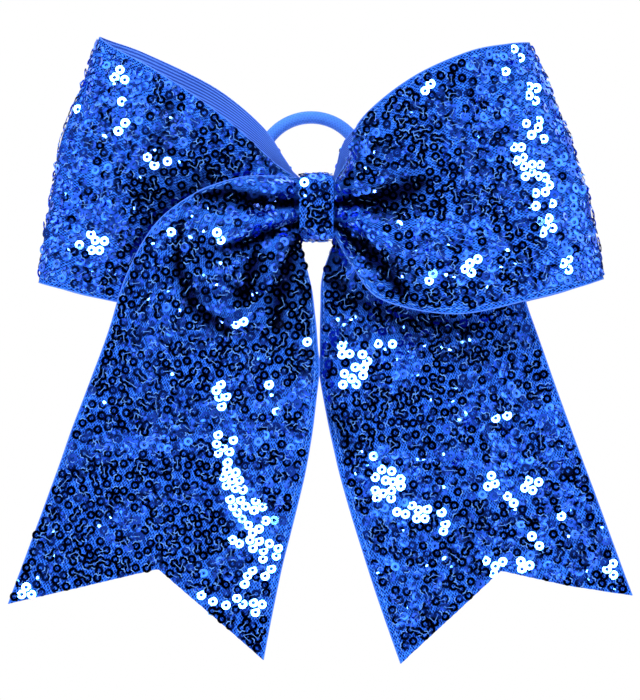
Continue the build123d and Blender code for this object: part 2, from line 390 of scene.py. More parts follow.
def make_piece(name, points, quads, finish, uv=None, shade=None, smooth=True):
    """A mesh object from points in millimetres and four-sided faces."""
    mesh = bpy.data.meshes.new(name)
    mesh.vertices.add(len(points))
    mesh.vertices.foreach_set("co", (points * MM).astype(np.float32).ravel())
    mesh.loops.add(quads.size)
    mesh.loops.foreach_set("vertex_index", quads.astype(np.int32).ravel())
    mesh.polygons.add(len(quads))
    mesh.polygons.foreach_set("loop_start", np.arange(0, quads.size, 4, dtype=np.int32))
    mesh.polygons.foreach_set("use_smooth", np.full(len(quads), smooth))
    mesh.update(calc_edges=True)
    if uv is not None:
        layer = mesh.uv_layers.new(name="ribbon")
        layer.data.foreach_set("uv", uv[quads.ravel()].astype(np.float32).ravel())
    if shade is not None:
        layer = mesh.attributes.new("shade", "FLOAT", "POINT")
        layer.data.foreach_set("value", shade.astype(np.float32))
    if smooth:
        mesh.set_sharp_from_angle(angle=math.radians(50))
    piece = bpy.data.objects.new(name, mesh)
    bpy.context.scene.collection.objects.link(piece)
    mesh.materials.append(finish_named(finish))
    return piece


def sheet_piece(name, strip, low, high, finish):
    """A closed sheet between two heights above a strip's own surface."""
    rows, columns = strip["points"].shape[:2]
    upper = strip["points"] + strip["normals"] * high
    lower = strip["points"] + strip["normals"] * low
    count = rows * columns
    index = np.arange(count).reshape(rows, columns)
    a, b, c, d = index[:-1, :-1], index[1:, :-1], index[1:, 1:], index[:-1, 1:]
    top = np.stack([a, b, c, d], -1).reshape(-1, 4)
    rim = np.concatenate([index[0, :], index[1:, -1], index[-1, -2::-1], index[-2:0:-1, 0]])
    after = np.roll(rim, -1)
    wall = np.stack([rim, after, after + count, rim + count], -1)
    quads = np.concatenate([top, top[:, ::-1] + count, wall])
    if strip["flip"]:
        quads = quads[:, ::-1]
    points = np.concatenate([upper.reshape(-1, 3), lower.reshape(-1, 3)])
    uv = np.stack([strip["along"], strip["across"]], -1).reshape(-1, 2)
    # the painted shade of the furrows, carried in the shade attribute
    furrow = strip.get("furrow", np.zeros((rows, columns))).ravel()
    shade = np.concatenate([furrow, furrow])
    return make_piece(name, points, quads, finish, np.concatenate([uv, uv]), shade)


def smooth_rows(rows, place):
    """Values between the rows of a table, on a smooth curve through them."""
    rows = np.asarray(rows, float)
    last = len(rows) - 1
    i = np.clip(np.floor(place).astype(int), 0, last - 1)
    t = (place - i)[..., None]
    a, b, c, d = (rows[np.clip(i + k, 0, last)] for k in (-1, 0, 1, 2))
    return 0.5 * (
        2 * b + (c - a) * t + (2 * a - 5 * b + 4 * c - d) * t**2 + (3 * b - a - 3 * c + d) * t**3
    )


# Gathers beside the wrap: height at the wrap, how steeply the fold climbs or drops for each
# millimetre outwards, and whether it is a ridge (up to 1) or a furrow (down to -1).
left_folds = [
    (8.7, 0.3, -0.3), (5.0, 0.05, 1.0), (1.2, -0.02, -1.0), (-1.8, -0.2, 0.9), (-5.4, -0.3, -1.0),
    (-8.0, -0.85, 0.7), (-9.3, -1.9, -0.4),
]
right_folds = [
    (8.7, 1.6, -0.3), (5.0, 0.75, 1.0), (1.0, 0.06, -1.1), (-1.8, -0.3, 0.9), (-5.4, -0.85, -1.0),
    (-8.0, -1.8, 0.7), (-9.3, -3.4, -0.3),
]


def fold_height(x, z, folds):
    """Ridge or furrow at a place beside the wrap, from -1 to 1."""
    out = np.maximum(np.abs(x) - 6, 0)
    lines = np.array(folds)
    levels = lines[:, 0][:, None] + lines[:, 1][:, None] * out.ravel()[None, :]
    z = z.ravel()
    height = np.full(z.shape, lines[0, 2])
    for k in range(len(lines) - 1):
        above, below = levels[k], levels[k + 1]
        inside = (z <= above) & (z > below)
        t = np.clip((above - z) / np.maximum(above - below, 1e-6), 0, 1)
        blend = (1 - np.cos(math.pi * t)) / 2
        height = np.where(inside, lines[k, 2] + (lines[k + 1, 2] - lines[k, 2]) * blend, height)
    height = np.where(z <= levels[-1], lines[-1, 2], height)
    return height.reshape(x.shape)


def gather_depth(x, z, pleat, reach, peak=10.0, held=1.7):
    """How deep the gathers are: held flat in the wrap, fullest beside it, and fading outwards."""
    away = np.hypot(x, z * 0.75)
    rise = np.clip((away - 5.5) / (peak - 5.5), 0, 1)
    rise = rise * rise * (3 - 2 * rise)
    fade = np.clip(1 - (away - peak) / reach, 0, 1)
    return held * (1 - rise) * (np.abs(x) < 12) + pleat * rise * fade**1.6


# Long soft hollows where the gathered ribbon dips and where net and sequins get painted
# shade, some of them painted shadows cast by a nearby ply: each a line of x, z and half width, then how
# strong it is.
hollows_and_painted_shade = {
    "left_tail": [
        ([(-5, 1.6, 0.9), (-17, 2.4, 1.6), (-27, 4.0, 2.2), (-33, 3.2, 1.6)], 1.0),
        ([(-5, -4.4, 0.8), (-13, -7.6, 1.6), (-22, -11.6, 2.6), (-28, -12.5, 2.0)], 1.0),
        ([(-7, -10.5, 2.0), (-9, -18, 3.8), (-11, -27, 4.0), (-12, -36, 2.4)], 0.85),
        ([(-40, -5, 1.6), (-41.5, -18, 2.4), (-36, -30, 3.0), (-27, -37, 2.2)], 0.9),
        ([(-18, -15.5, 3.6), (-22, -26, 4.2)], 0.85),
    ],
    "left_loop": [
        # a painted shadow that the left tail's top edge casts on the loop, with a dip
        ([(-54, -12, 3.0), (-43, 2, 4.0), (-32, 9, 3.0)], 0.6),
        ([(-44, 30, 3.0), (-46, 14, 4.0), (-52, 2, 3.0)], 0.45),
        ([(-20, 20, 2.0), (-10, 11, 1.6)], 0.6),
    ],
    "right_loop": [
        ([(5, 1.4, 0.8), (12, 1.6, 1.6), (19, 2.6, 3.4), (26, 4.4, 4.4), (31, 7, 3.0)], 1.0),
        ([(6, -5.8, 0.8), (14, -10.5, 1.5), (20.5, -18.5, 2.4), (26, -26, 2.2)], 1.0),
        ([(17, -1, 2.4), (25, -2.5, 3.0)], 0.7),
        ([(8, 6.2, 0.7), (16, 13, 1.8), (19, 19, 2.2)], 0.6),
    ],
    "right_tail": [
        # a painted shadow under the right loop's lower edge, with a dip
        ([(2, -10, 3.0), (4, -20, 3.0), (10, -27, 3.0), (24, -33, 3.4), (45, -36, 3.0)], 0.7),
        ([(4, -62, 3.0), (9, -72, 3.6)], 0.4),
    ],
}


def hollow_and_shade_at(x, z, lines):
    """How much a place lies in the hollows, for their dip and their painted shade: 0 outside them, up to
    1 on their lines.
    """
    total = np.zeros_like(x)
    for line, strength in lines:
        for (x0, z0, w0), (x1, z1, w1) in zip(line, line[1:]):
            run_x, run_z = x1 - x0, z1 - z0
            t = ((x - x0) * run_x + (z - z0) * run_z) / (run_x**2 + run_z**2)
            t = np.clip(t, 0, 1)
            away = np.hypot(x - x0 - run_x * t, z - z0 - run_z * t)
            total = np.maximum(total, strength * np.exp(-((away / (w0 + (w1 - w0) * t)) ** 2)))
    return total


def ripples(along, across, seed, size):
    """Soft unevenness of hung ribbon: long shallow waves, each with its own direction."""
    rng = np.random.default_rng(seed)
    total = np.zeros_like(along)
    for wave in (46.0, 33.0, 24.0, 17.0):
        turn, shift = rng.uniform(0, math.pi), rng.uniform(0, 2 * math.pi)
        run = along * math.cos(turn) + across * math.sin(turn)
        total += size * (wave / 46.0) * np.sin(2 * math.pi * run / wave + shift)
    return total


def ribbon_strip(
    rows, side, folds, pleat, reach, cut=None, cup=0.0, seed=1, ripple=0.6, shaded_dips=()
):
    """A strip of ribbon as a grid of points, with its distance along, across, and its normals.

    Rows are lines over the ribbon's width: upper x and z, lower x and z, depth y, and how far
    the line's middle bulges outwards. The strip starts inside the wrap and runs to its last
    row, or to the cut, a line over the tail's end."""
    rows = np.array([tuple(row) + (0,) * (6 - len(row)) for row in rows], float)
    width = bpy.context.scene.hair_bow.ribbon.width / MM
    # the mesh has a row of points each 1.25 mm, measured on many finer samples
    samples, columns, step, dip_depth = 1600, 97, 1.25, 1.3
    place = np.linspace(0, len(rows) - 1, samples)
    r = smooth_rows(rows, place)
    middle = np.stack([(r[:, 0] + r[:, 2]) / 2, r[:, 4], (r[:, 1] + r[:, 3]) / 2], -1)
    arc = np.concatenate([[0], np.cumsum(np.linalg.norm(np.diff(middle, axis=0), axis=1))])
    v = np.linspace(0, 1, columns)
    if cut is None:
        ends = np.full(len(v), arc[-1])
    else:
        cut_x, cut_z = np.array(cut)[:, 0], np.array(cut)[:, 1]
        ends = []
        for share in v:
            x = r[:, 0] + (r[:, 2] - r[:, 0]) * share
            z = r[:, 1] + (r[:, 3] - r[:, 1]) * share
            beyond = np.nonzero(z < np.interp(x, cut_x, cut_z))[0]
            beyond = beyond[beyond > samples // 2]
            ends.append(arc[beyond[0]] if len(beyond) else arc[-1])
        ends = np.array(ends)
    count = int(ends.max() / step)
    # two more rows reach back into the wrap
    t = np.concatenate([[-1.6 / ends.mean(), -0.8 / ends.mean()], np.linspace(0, 1, count)])
    along = t[:, None] * ends[None, :]
    r = smooth_rows(rows, np.interp(along, arc, place))
    share = np.broadcast_to(v[None, :], along.shape)
    x = r[..., 0] + (r[..., 2] - r[..., 0]) * share
    z = r[..., 1] + (r[..., 3] - r[..., 1]) * share
    round_off = 4 * share * (1 - share)
    x = x + side * (r[..., 5] * round_off + np.minimum(along, 0))
    z = z * np.where(along < 0, 0.95, 1.0)
    y = r[..., 4].copy()
    fullness = np.clip(along / 30, 0, 1) * np.clip(1.6 - along / 110, 0, 1)
    y -= cup * round_off * fullness
    depth = gather_depth(x, z, pleat, reach)
    fold = fold_height(x, z, folds)
    y -= depth * fold
    # painted shade: the furrows of the gathers and the hollows are marked here, and the net and the
    # sequins are painted darker there
    furrow = np.clip(-fold * 1.3 - 0.05, 0, 1) * np.clip(depth / 2.2, 0, 1)
    dip = hollow_and_shade_at(x, z, shaded_dips)
    y += dip_depth * dip * np.clip((np.abs(x) - 5) / 6, 0, 1)
    furrow = np.maximum(furrow, np.clip(dip * 1.25, 0, 1))
    points = np.stack([x, y, z], -1)
    across = share * width
    normals = grid_normals(points)
    flip = normals[:8, :, 1].mean() > 0
    if flip:
        normals = -normals
    calm = np.clip(along / 25, 0, 1)
    points = points + normals * (ripples(along, across, seed, ripple) * calm)[..., None]
    normals = grid_normals(points) * (-1 if flip else 1)
    return {
        "points": points, "normals": normals, "along": along, "across": across,
        "ends": ends, "flip": not flip, "furrow": furrow, "steepest": 0.3,
    }


def grid_normals(points):
    """Unit normal at each point of a grid."""
    normals = np.cross(np.gradient(points, axis=0), np.gradient(points, axis=1))
    return normals / np.maximum(np.linalg.norm(normals, axis=-1, keepdims=True), 1e-9)


def strip_spots(strip, rng, count, edge, start, end):
    """Random places spread evenly over a strip: point, normal, distance along, furrow, and area.

    They keep off the long edges by the edge width, and off the strip's ends by start and end."""
    p = strip["points"]
    corner = [p[:-1, :-1], p[1:, :-1], p[1:, 1:], p[:-1, 1:]]
    area = np.linalg.norm(np.cross(corner[2] - corner[0], corner[3] - corner[1]), axis=-1) / 2
    along = strip["along"][:-1, :-1]
    to_end = strip["ends"][None, :-1] - along
    steps = np.linalg.norm(np.diff(p, axis=1), axis=-1)
    inwards = np.cumsum(steps, axis=1)
    from_low = inwards[:, -1:] - inwards
    fits = (along > start) & (to_end > end) & (inwards[:-1] > edge) & (from_low[:-1] > edge)
    # the steep walls of the gathers press the sequins out of sight
    fits &= np.abs(strip["normals"][:-1, :-1, 1]) > strip.get("steepest", 0.0)
    area = np.where(fits, area, 0)
    total = np.cumsum(area.ravel())
    cell = np.searchsorted(total, rng.random(count) * total[-1])
    i, j = np.unravel_index(np.minimum(cell, area.size - 1), area.shape)
    a, b = rng.random((count, 1)), rng.random((count, 1))
    found = []
    for key in ("points", "normals"):
        g = strip[key]
        found.append(
            (g[i, j] * (1 - a) + g[i + 1, j] * a) * (1 - b)
            + (g[i, j + 1] * (1 - a) + g[i + 1, j + 1] * a) * b
        )
    found[1] /= np.linalg.norm(found[1], axis=-1, keepdims=True)
    furrow = strip["furrow"][i, j] if "furrow" in strip else np.zeros(count)
    return found[0], found[1], along[i, j], furrow, total[-1]


def scatter(strip, rng, each, gap, edge, start=1.0, end=1.7):
    """Sequin places no nearer than the gap, until the strip has one for each so much area."""
    area = strip_spots(strip, rng, 1, edge, start, end)[4]
    wanted, tries = int(area / each), 14
    points, normals, along, furrow, _ = strip_spots(strip, rng, wanted * tries, edge, start, end)
    cells, kept = {}, []
    keys = np.floor(points / gap).astype(int)
    near = [(a, b, c) for a in (-1, 0, 1) for b in (-1, 0, 1) for c in (-1, 0, 1)]
    for k in range(len(points)):
        kx, ky, kz = keys[k]
        px, py, pz = points[k]
        free = True
        for a, b, c in near:
            for q in cells.get((kx + a, ky + b, kz + c), ()):
                if (q[0] - px) ** 2 + (q[1] - py) ** 2 + (q[2] - pz) ** 2 < gap * gap:
                    free = False
                    break
            if not free:
                break
        if free:
            cells.setdefault((kx, ky, kz), []).append((px, py, pz))
            kept.append(k)
            if len(kept) >= wanted:
                break
    return points[kept], normals[kept], along[kept], furrow[kept]


def side_axes(normals):
    """Two directions in the plane of each normal."""
    reference = np.where(np.abs(normals[:, 2:3]) < 0.9, [[0.0, 0.0, 1.0]], [[1.0, 0.0, 0.0]])
    first = np.cross(reference, normals)
    first /= np.linalg.norm(first, axis=-1, keepdims=True)
    return first, np.cross(normals, first)


def sequin_piece(name, centres, normals, dish, furrow, rng):
    """Punched discs with a hole, each bent a little hollow or proud, all in one mesh."""
    sequin = bpy.context.scene.hair_bow.sequin
    sides, half = sequin.sides, sequin.film / MM / 2
    first, second = side_axes(normals)
    turn = rng.random((len(centres), 1)) * 2 * math.pi
    angles = np.arange(sides)[None, :] * 2 * math.pi / sides + turn
    around = (
        np.cos(angles)[..., None] * first[:, None] + np.sin(angles)[..., None] * second[:, None]
    )
    outer = sequin.diameter / MM / 2 * rng.uniform(0.95, 1.03, (len(centres), 1, 1))
    inner = sequin.hole / MM / 2
    up = normals[:, None] * half
    middle = centres[:, None]
    rim = middle + around * outer - normals[:, None] * dish[:, None, None]
    rings = [rim + up, middle + around * inner + up]
    rings += [middle + around * inner - up, rim - up]
    points = np.stack(rings, 1).reshape(-1, 3)
    i = np.arange(sides)
    after = (i + 1) % sides
    one = []
    for ring in range(4):
        here, below = ring * sides, ((ring + 1) % 4) * sides
        one.append(np.stack([here + i, here + after, below + after, below + i], -1))
    one = np.concatenate(one)
    quads = (one[None] + (np.arange(len(centres)) * 4 * sides)[:, None, None]).reshape(-1, 4)
    # sequins deep in a furrow would shade each other, so they are tinted darker
    shade = (0.5 + 0.5 * rng.random(len(centres))) * (1 - 0.8 * np.clip(furrow, 0, 1))
    return make_piece(name, points, quads, "film", shade=np.repeat(shade, 4 * sides))


def stitch_piece(name, starts, middles, ends, normals, across):
    """Short bars of thread, each from a start over its middle to an end, all in one mesh.

    Across is the thread's width in millimetres."""
    way = ends - starts
    way /= np.maximum(np.linalg.norm(way, axis=-1, keepdims=True), 1e-9)
    side = np.cross(normals, way)
    side /= np.maximum(np.linalg.norm(side, axis=-1, keepdims=True), 1e-9)
    half = across / 2
    rings = []
    for centre in (starts, middles, ends):
        for s, u in ((-1, 0), (0, 1), (1, 0), (0, -1)):
            rings.append(centre + side * s * half + normals * u * half)
    points = np.stack(rings, 1).reshape(-1, 3)
    one = [[3, 2, 1, 0], [8, 9, 10, 11]]
    for ring in (0, 4):
        for k in range(4):
            after = (k + 1) % 4
            one.append([ring + k, ring + after, ring + 4 + after, ring + 4 + k])
    quads = (np.array(one)[None] + (np.arange(len(starts)) * 12)[:, None, None]).reshape(-1, 4)
    return make_piece(name, points, quads, "chain_thread", smooth=False)


def chain_links(centres, normals, rng, share=0.4, reach=2.8):
    """Pairs of neighbouring sequins that the chain stitch joins, no more than two each."""
    cells = {}
    keys = np.floor(centres / reach).astype(int)
    for k, key in enumerate(map(tuple, keys)):
        cells.setdefault(key, []).append(k)
    pairs = []
    for k, (a, b, c) in enumerate(map(tuple, keys)):
        for da in (-1, 0, 1):
            for db in (-1, 0, 1):
                for dc in (-1, 0, 1):
                    for q in cells.get((a + da, b + db, c + dc), ()):
                        if q > k and normals[k] @ normals[q] > 0.7:
                            distance = np.linalg.norm(centres[k] - centres[q])
                            if distance < reach:
                                pairs.append((distance, k, q))
    pairs.sort()
    held, links = [0] * len(centres), []
    for _, k, q in pairs:
        if held[k] < 2 and held[q] < 2 and rng.random() < share:
            held[k] += 1
            held[q] += 1
            links.append((k, q))
    return np.array(links)


def rim_stitches(centres, facing, furrow, rng, share=0.75):
    """The bits of thread that come up beside each sequin's rim."""
    chosen = rng.random(len(centres)) < share * (1 - furrow)
    centres, facing = centres[chosen], facing[chosen]
    first, second = side_axes(facing)
    begin = rng.random((len(centres), 1)) * 2 * math.pi
    spread = rng.uniform(0.45, 0.75, (len(centres), 1))
    bars = []
    # for the start, middle and end of a bit: its turn round the sequin, distance from the
    # sequin's middle, and height over its face
    for turn, out, up in ((-1, 1.3, 0.02), (0, 1.48, 0.2), (1, 1.3, 0.02)):
        angle = begin + turn * spread
        bars.append(centres + out * (np.cos(angle) * first + np.sin(angle) * second) + facing * up)
    return *bars, facing


# Where sequins are turned to the lamp, as ripples of the ribbon would turn them: each place's
# middle x and z, and its half sizes.
lamp_spots = {
    "left_tail": [
        (-29, -57, 2.6, 5), (-27.5, -72, 3, 6), (-25, -84, 4, 6), (-19.5, -94, 5.5, 7),
        (-16, -105, 6, 6), (-22, -100, 4, 4), (-32, -118, 4, 3), (-18.5, -119.5, 4, 2),
        (-5, -40, 2.5, 1.6), (-22, -35, 2.6, 1.6), (-87, -115, 2.5, 2.5), (-14, -53, 2, 2),
        (-30, -8.5, 3, 1.6), (-25, -118, 3, 2), (-21, -112, 3, 3),
    ],
    "right_tail": [
        (8, -44, 2, 3), (10, -51, 4, 3.5), (20.5, -83, 5, 5), (28, -92, 5, 3), (34, -93, 5, 2.5),
        (56, -63, 3, 2), (64, -84, 5, 3), (57, -88, 3, 2), (53, -107, 3.5, 3), (46, -36, 3, 1.6),
        (90, -108, 3, 3), (40, -96, 3, 2), (19, -41, 4, 2), (52.5, -82, 2.5, 2.5),
        (62, -107, 3, 2), (70, -107, 2.5, 2), (66, -100, 2, 2), (14, -47, 2, 3), (73, -93, 2, 2),
    ],
    "right_loop": [
        (63, 34, 3, 5), (65, 22, 3, 5), (63, 12, 4, 3.5), (67.5, 4, 3.5, 6), (68, -5, 3, 3),
        (46, -17.5, 3.5, 3), (76, -17.5, 4, 2.5), (20, 1, 1.5, 1.5), (33, -22, 3, 2.5),
        (71, 0.5, 2, 2), (62, 43.5, 1.6, 2), (60, 17, 2, 2), (13.5, -9.5, 1.6, 1.6),
        (57, 47, 2.2, 1.6), (34, 35, 1.8, 1.8), (55, 40, 1.6, 1.6),
    ],
    "left_loop": [
        (-60, 46, 2, 2.5), (-59, 37, 2, 6), (-48, 14, 4, 1.6), (-67, -11, 4, 3), (-50, -27, 3, 1.6),
        (-58, 24, 2, 2), (-72, 30, 1.5, 1.5),
    ],
    "wrap": [(-2.8, 6.6, 1.5, 1.5)],
}
# The small lamp that the sequins flash back, and where the bow is looked at from
flash_lamp = np.array([-560.0, -2000.0, 830.0])
viewer = np.array([1.0, -4015.0, -43.0])


def unit(ways):
    return ways / np.linalg.norm(ways, axis=-1, keepdims=True)


# Where sequins are leaned further, as uneven ribbon would lean them, so that they mirror more
# of the bright room
turned_areas = {
    "left_tail": [(-17, -79, 14, 36), (-28, -27, 18, 15), (-60, -95, 8, 10)],
    "right_tail": [
        (55, -72, 30, 26), (68, -99, 30, 18), (22, -45, 14, 12), (24, -84, 16, 16),
        (30, -112, 14, 20),
    ],
    "right_loop": [(42, -13, 22, 14), (56, 30, 16, 22), (74, 5, 14, 34), (20, 12, 8, 8)],
    "left_loop": [(-45, 29, 13, 18), (-73, -4, 13, 30), (-35, 0, 9, 9), (-66, 40, 12, 12)],
}


def lean(name, centres, normals, furrow, rng, spread):
    """Lean each sequin a little its own way, and turn those in a lamp spot to the lamp.

    Gives the way each one faces, and how far its rim bends back in millimetres."""
    first, second = side_axes(normals)
    turned = np.zeros(len(centres))
    for x, z, half_x, half_z in turned_areas.get(name, []):
        away = ((centres[:, 0] - x) / half_x) ** 2 + ((centres[:, 2] - z) / half_z) ** 2
        turned = np.maximum(turned, np.clip(1.5 - 1.5 * away, 0, 1))
    turned = (turned * (1 - furrow))[:, None]
    # a furrow holds its sequins facing out of it, to the dark front of the room
    held = np.clip(furrow * 1.8, 0, 1)[:, None]
    leaned = normals * (1 - held) + np.array([0, -1.0, 0]) * held
    leaned = leaned + np.array([-0.06, 0, 0.14]) * turned
    for axis in (first, second):
        leaned = leaned + axis * rng.normal(0, spread, (len(centres), 1)) * (1 + 2.0 * turned)
    lit = np.zeros(len(centres), bool)
    for x, z, half_x, half_z in lamp_spots.get(name, []):
        inside = ((centres[:, 0] - x) / half_x) ** 2 + ((centres[:, 2] - z) / half_z) ** 2 < 1
        lit |= inside & (normals[:, 1] < -0.6)
    lit &= rng.random(len(centres)) < 0.88
    half_way = unit(unit(flash_lamp - centres) + unit(viewer - centres))
    leaned[lit] = half_way[lit] + rng.normal(0, 0.008, (int(lit.sum()), 3))
    dish = np.clip(rng.normal(0, 0.07, len(centres)), -0.15, 0.15)
    return unit(leaned), np.where(lit, 0, dish)


def edge_stitches(strip, inset, rng):
    """Dashes of the stitching that holds the net along both long edges."""
    starts, ends, normals = [], [], []
    columns = strip["across"].shape[1]
    width = strip["across"].max()
    for share in (inset / width, 1 - inset / width):
        column = int(round(share * (columns - 1)))
        line, facing = strip["points"][:, column], strip["normals"][:, column]
        arc = np.concatenate([[0], np.cumsum(np.linalg.norm(np.diff(line, axis=0), axis=1))])
        at = 3.0
        while at < arc[-1] - 2.5:
            stitch = rng.uniform(1.2, 1.9)
            for where, into in ((at, starts), (at + stitch, ends)):
                into.append([np.interp(where, arc, line[:, k]) for k in range(3)])
            normals.append([np.interp(at, arc, facing[:, k]) for k in range(3)])
            at += stitch + rng.uniform(0.7, 1.3)
    normals = np.array(normals)
    normals /= np.linalg.norm(normals, axis=-1, keepdims=True)
    return np.array(starts) + normals * 0.3, np.array(ends) + normals * 0.3, normals


def selvedge_piece(name, strip, radius=0.22):
    """The heat-sealed edges: a thin bead along both long edges of the net."""
    points, quads, sides = [], [], 6
    angle = np.arange(sides) * 2 * math.pi / sides
    for column in (0, -1):
        line, facing = strip["points"][2:, column], strip["normals"][2:, column]
        way = unit(np.gradient(line, axis=0))
        side = np.cross(way, facing)
        ring = line[:, None] + facing[:, None] * 0.05 + radius * (
            np.cos(angle)[None, :, None] * side[:, None]
            + np.sin(angle)[None, :, None] * facing[:, None]
        )
        base, rows = sum(len(p) for p in points), len(line)
        index = base + np.arange(rows * sides).reshape(rows, sides)
        a, b = index[:-1], index[1:]
        wall = np.stack([a, b, np.roll(b, -1, 1), np.roll(a, -1, 1)], -1).reshape(-1, 4)
        caps = [index[0][[0, 1, 2, 3]], index[0][[0, 3, 4, 5]]]
        caps += [index[-1][[3, 2, 1, 0]], index[-1][[5, 4, 3, 0]]]
        points.append(ring.reshape(-1, 3))
        quads += [wall, np.array(caps)]
    return make_piece(name, np.concatenate(points), np.concatenate(quads), "edge_thread")


def dress_strip(name, strip, nodes, attach, seed, sewn_edges=True, split=None, edge=1.8):
    """Backing, net, sequins and threads on one strip of ribbon.

    A split, in millimetres along the strip, parts the sequins into a front and a back piece."""
    bow = bpy.context.scene.hair_bow
    rng = np.random.default_rng(bow.sequin.seed + seed)
    made = []
    ply_gap = 0.08
    backing = sheet_piece(
        f"{name}_grosgrain", strip, -ply_gap - bow.ribbon.backing / MM, -ply_gap, "grosgrain"
    )
    net = sheet_piece(f"{name}_net", strip, 0.0, bow.ribbon.net / MM, "net")
    made += [(backing, "ribbed_ribbon", nodes[0]), (net, "net_ground", nodes[1])]
    # widths of the threads
    chain_width, rim_width, edge_width, edge_inset = 0.15, 0.3, 0.2, 1.5
    if len(nodes) > 2:
        centres, normals, along, furrow = scatter(
            strip, rng, bow.sequin.each, bow.sequin.gap / MM, edge
        )
        # some sequins lie close to the net and some a little higher
        lift = 0.42 + rng.random((len(centres), 1)) * 0.3
        leaned, dish = lean(name, centres, normals, furrow, rng, bow.sequin.tilt)
        centres = centres + normals * lift
        parts = [("", np.ones(len(centres), bool))]
        if split is not None:
            parts = [("_front", along <= split), ("_back", along > split)]
        for suffix, chosen in parts:
            discs = sequin_piece(
                f"{name}{suffix}_sequin_discs", centres[chosen], leaned[chosen], dish[chosen],
                furrow[chosen], rng,
            )
            made.append((discs, "sequins", nodes[2]))
        links = chain_links(centres, normals, rng)
        one, two = centres[links[:, 0]], centres[links[:, 1]]
        facing = normals[links[:, 0]] + normals[links[:, 1]]
        facing /= np.linalg.norm(facing, axis=-1, keepdims=True)
        chain = stitch_piece(
            f"{name}_chain_thread", one - facing * 0.1, (one + two) / 2 + facing * 0.24,
            two - facing * 0.1, facing, chain_width,
        )
        made.append((chain, "polyester_thread", None))
        starts, middles, ends, facing = rim_stitches(centres, leaned, furrow, rng)
        rim_thread = stitch_piece(f"{name}_rim_thread", starts, middles, ends, facing, rim_width)
        made.append((rim_thread, "polyester_thread", None))
        if sewn_edges:
            starts, ends, facing = edge_stitches(strip, edge_inset, rng)
            sewing = stitch_piece(
                f"{name}_edge_stitching", starts, (starts + ends) / 2 + facing * 0.12, ends,
                facing, edge_width,
            )
            made.append((sewing, "polyester_thread", None))
            made.append((selvedge_piece(f"{name}_selvedge", strip), "net_ground", None))
    for piece, finish, node in made:
        if node:
            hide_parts(node)
        attach(piece)
    return backing, net


# ---------------------------------------------------------------- the bow's own shapes

left_tail_rows = [
    (-6, 8.7, -6, -9.3, -17.1), (-25, 8.4, -2.9, -19.2, -26.5), (-45, -2, -0.6, -30.4, -29),
    (-56.5, -20, 0.3, -41.8, -28.5), (-62.4, -38.1, 0.5, -51.6, -26), (-71.5, -62.6, -3, -77.3, -21.5),
    (-81.9, -90.8, -10.1, -106.4, -18), (-92.3, -118.9, -16, -135.8, -15.5),
    (-96.8, -131.1, -17.9, -148.7, -14.5),
]
right_tail_rows = [
    (6, 8.3, 6, -9.3, -13.8), (24, 5.2, 2, -20.3, -14.8), (42, -1.2, 1.3, -30.5, -15.5),
    (58, -18, 1.2, -43.5, -16), (64.4, -33.4, 1.4, -52.5, -16), (73.7, -59.7, 7, -79.8, -15.5),
    (84, -87.6, 15.6, -108.6, -14.5), (94.5, -116, 25.3, -136.9, -13.5), (99.5, -127.8, 30.1, -149, -13),
]
left_tail_cut = [(-120, -125.37), (-47.4, -108.4), (12, -160.3)]
right_tail_cut = [(0, -160.5), (55.3, -109.1), (76, -113.6), (130, -122)]
left_loop_rows = [
    (-6, 8.7, -6, -9.3, -13.8, 0), (-12.7, 13.3, -12.4, -17.6, -16, 0),
    (-22.6, 22.4, -24, -27.7, -19, 0), (-34.2, 31.6, -40.7, -31.4, -20, 0),
    (-49.7, 41.7, -62.3, -27.9, -17.8, 0.6), (-61.4, 48, -77.7, -24.1, -13.8, 2.1),
    (-65.6, 51.1, -83.6, -22.5, -9, 2.5), (-62, 49.9, -79.4, -23.6, -5.2, 2.2),
    (-51.2, 46, -66.6, -27, -2.8, 0.8), (-31, 36, -40.7, -31, -4, 0),
    (-16.3, 24.2, -20, -25.5, -8.3, 0), (-9.9, 15, -10.6, -15.5, -9.7, 0),
    (-6, 8.7, -6, -9.3, -10.5, 0),
]
right_loop_rows = [
    (6, 8.5, 6, -9.3, -17.1, 0), (9.7, 15, 10.5, -17.3, -22.5, 0),
    (13.2, 25.7, 19.5, -27.7, -27.5, 0), (27.6, 37.9, 41.5, -32, -29, 0),
    (44.7, 46, 64, -27.7, -26.5, 0.6), (57.3, 48.7, 79, -23.8, -20.5, 2.2),
    (63.3, 49, 86, -21.5, -13, 2.9), (59, 48.5, 81.2, -23, -6.5, 2.4),
    (47.5, 46.4, 68, -27, -3.4, 0.8), (26.5, 37, 41.5, -32, -4, 0),
    (12.5, 24.5, 19.5, -27.5, -8.3, 0), (7.6, 17.8, 10.3, -17, -9.7, 0),
    (6, 8.5, 6, -9.3, -10.5, 0),
]


def attach_between():
    """How a piece that leaves the wrap is placed: its transform is baked into its mesh."""

    def attach(piece):
        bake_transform(piece)

    return attach


class HAIRBOW_OT_tails(bpy.types.Operator):
    """Lay the two tails, cut to a V, with their net, sequins and stitching"""

    bl_idname = "hair_bow.tails"
    bl_label = "Tails"

    def execute(self, context):
        ribbon = context.scene.hair_bow.ribbon
        for name, rows, side, folds, cut, cup, seed in (
            ("left_tail", left_tail_rows, -1, left_folds, left_tail_cut, 2.5, 11),
            ("right_tail", right_tail_rows, 1, right_folds, right_tail_cut, 0.6, 23),
        ):
            pleat, reach = (ribbon.pleat / MM, 34) if side < 0 else (1.2, 12)
            strip = ribbon_strip(
                rows, side, folds, pleat, reach, cut, cup, seed, shaded_dips=hollows_and_painted_shade[name]
            )
            nodes = [f"{name}_backing", f"{name}_mesh", f"{name}_sequins"]
            attach = attach_between()
            backing, net = dress_strip(name, strip, nodes, attach, seed)
        return {"FINISHED"}


